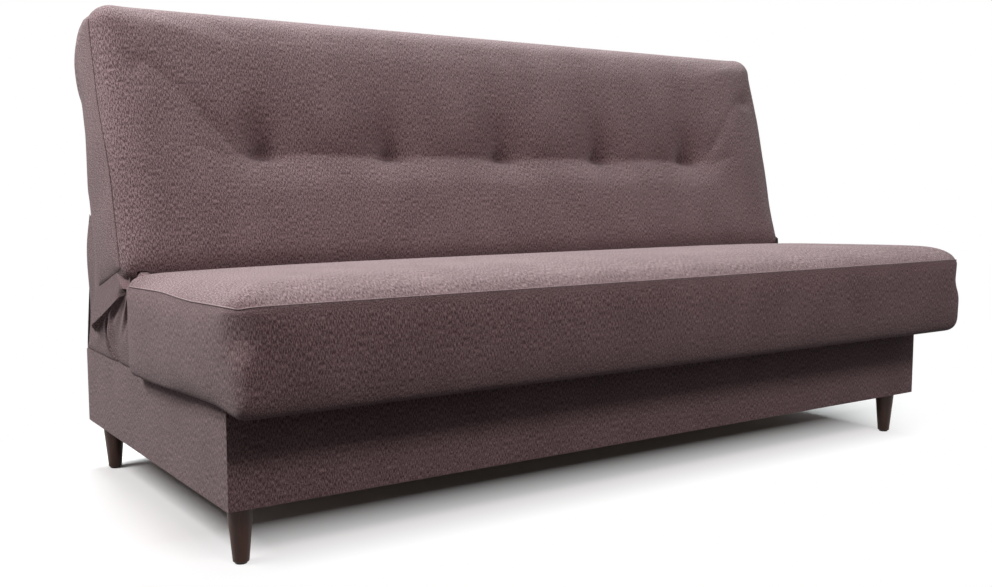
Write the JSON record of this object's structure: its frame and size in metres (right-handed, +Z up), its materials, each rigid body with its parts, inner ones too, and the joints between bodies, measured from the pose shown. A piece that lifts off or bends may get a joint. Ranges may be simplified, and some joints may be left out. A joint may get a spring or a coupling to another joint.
{
  "type": "sofa bed",
  "caption": "Armless click-clack sofa bed: a box-edged seat and a tufted back, hinged like a book on ratchet plates above an upholstered bedding box on turned legs.",
  "frame": {"origin": "on the floor, at the centre of the overall width and depth", "axes": "+X along the width to the sitter's left, -Y to the front, +Z up from the floor"},
  "size_m": [1.9, 0.9938, 1.0007],
  "materials": {
    "upholstery_fabric": "matt",
    "dust_cloth": "matt",
    "foam": "matt",
    "felt": "matt",
    "webbing": "matt",
    "pine": "matt",
    "chipboard": "matt",
    "hardboard": "satin",
    "dark_beech": "satin",
    "steel": "satin",
    "painted_steel": "satin",
    "spring_steel": "satin",
    "twine": "matt",
    "glide_plastic": "matt"
  },
  "bodies": {
    "box": {"box_front_board": "chipboard", "box_rear_board": "chipboard", "box_left_board": "chipboard", "box_right_board": "chipboard", "box_cover": "upholstery_fabric", "bottom_bearers": "pine", "corner_blocks": "pine", "box_bottom_panel": "hardboard", "front_legs": "dark_beech", "rear_legs": "dark_beech", "leg_studs": "steel", "leg_glides": "glide_plastic", "base_plate_left": "painted_steel", "base_plate_right": "painted_steel", "pivot_bolts": "steel", "pivot_nuts": "steel", "pawl_pins": "steel", "plate_screws": "steel", "pawl_springs": "spring_steel", "rear_skirt": "upholstery_fabric", "gusset_left": "upholstery_fabric", "gusset_right": "upholstery_fabric"},
    "seat": {"seat_rear_rail": "pine", "seat_front_rail": "pine", "seat_end_rails": "pine", "seat_cross_rail": "pine", "seat_foam": "foam", "seat_cover": "upholstery_fabric", "seat_dust_cloth": "dust_cloth", "seat_springs": "spring_steel", "seat_felt": "felt", "seat_arm_left": "painted_steel", "seat_arm_right": "painted_steel", "seat_arm_screws": "steel"},
    "back": {"back_lower_rail": "pine", "back_upper_rail": "pine", "back_end_rails": "pine", "back_cross_rail": "pine", "back_foam": "foam", "back_cover": "upholstery_fabric", "back_rear_cloth": "upholstery_fabric", "back_webbing": "webbing", "tuft_twines": "twine", "tuft_toggles": "glide_plastic", "back_arm_left": "painted_steel", "back_arm_right": "painted_steel", "back_arm_screws": "steel"},
    "pawl_left": {"pawl_left": "painted_steel"},
    "pawl_right": {"pawl_right": "painted_steel"}
  },
  "joints": [
    {"name": "back_hinge", "type": "hinge", "parent": "box", "child": "back", "pos_m": [0, 0.08371, 0.45549], "axis": [-1, 0, 0], "range_deg": [0, 74], "deforming": ["rear_skirt", "gusset_left", "gusset_right"]},
    {"name": "seat_hinge", "type": "hinge", "parent": "box", "child": "seat", "pos_m": [0, 0.08371, 0.45549], "axis": [-1, 0, 0], "range_deg": [0, 50], "deforming": ["gusset_left", "gusset_right"]},
    {"name": "pawl_left_pivot", "type": "hinge", "parent": "box", "child": "pawl_left", "pos_m": [-0.905, 0.03972, 0.40949], "axis": [1, 0, 0], "range_deg": [0, 5.19]},
    {"name": "pawl_right_pivot", "type": "hinge", "parent": "box", "child": "pawl_right", "pos_m": [0.905, 0.03972, 0.40949], "axis": [1, 0, 0], "range_deg": [0, 5.19]}
  ],
  "couplings": [
    {"joint": "pawl_left_pivot", "follows": "back_hinge", "ratio": 0.07},
    {"joint": "pawl_right_pivot", "follows": "back_hinge", "ratio": 0.07}
  ]
}
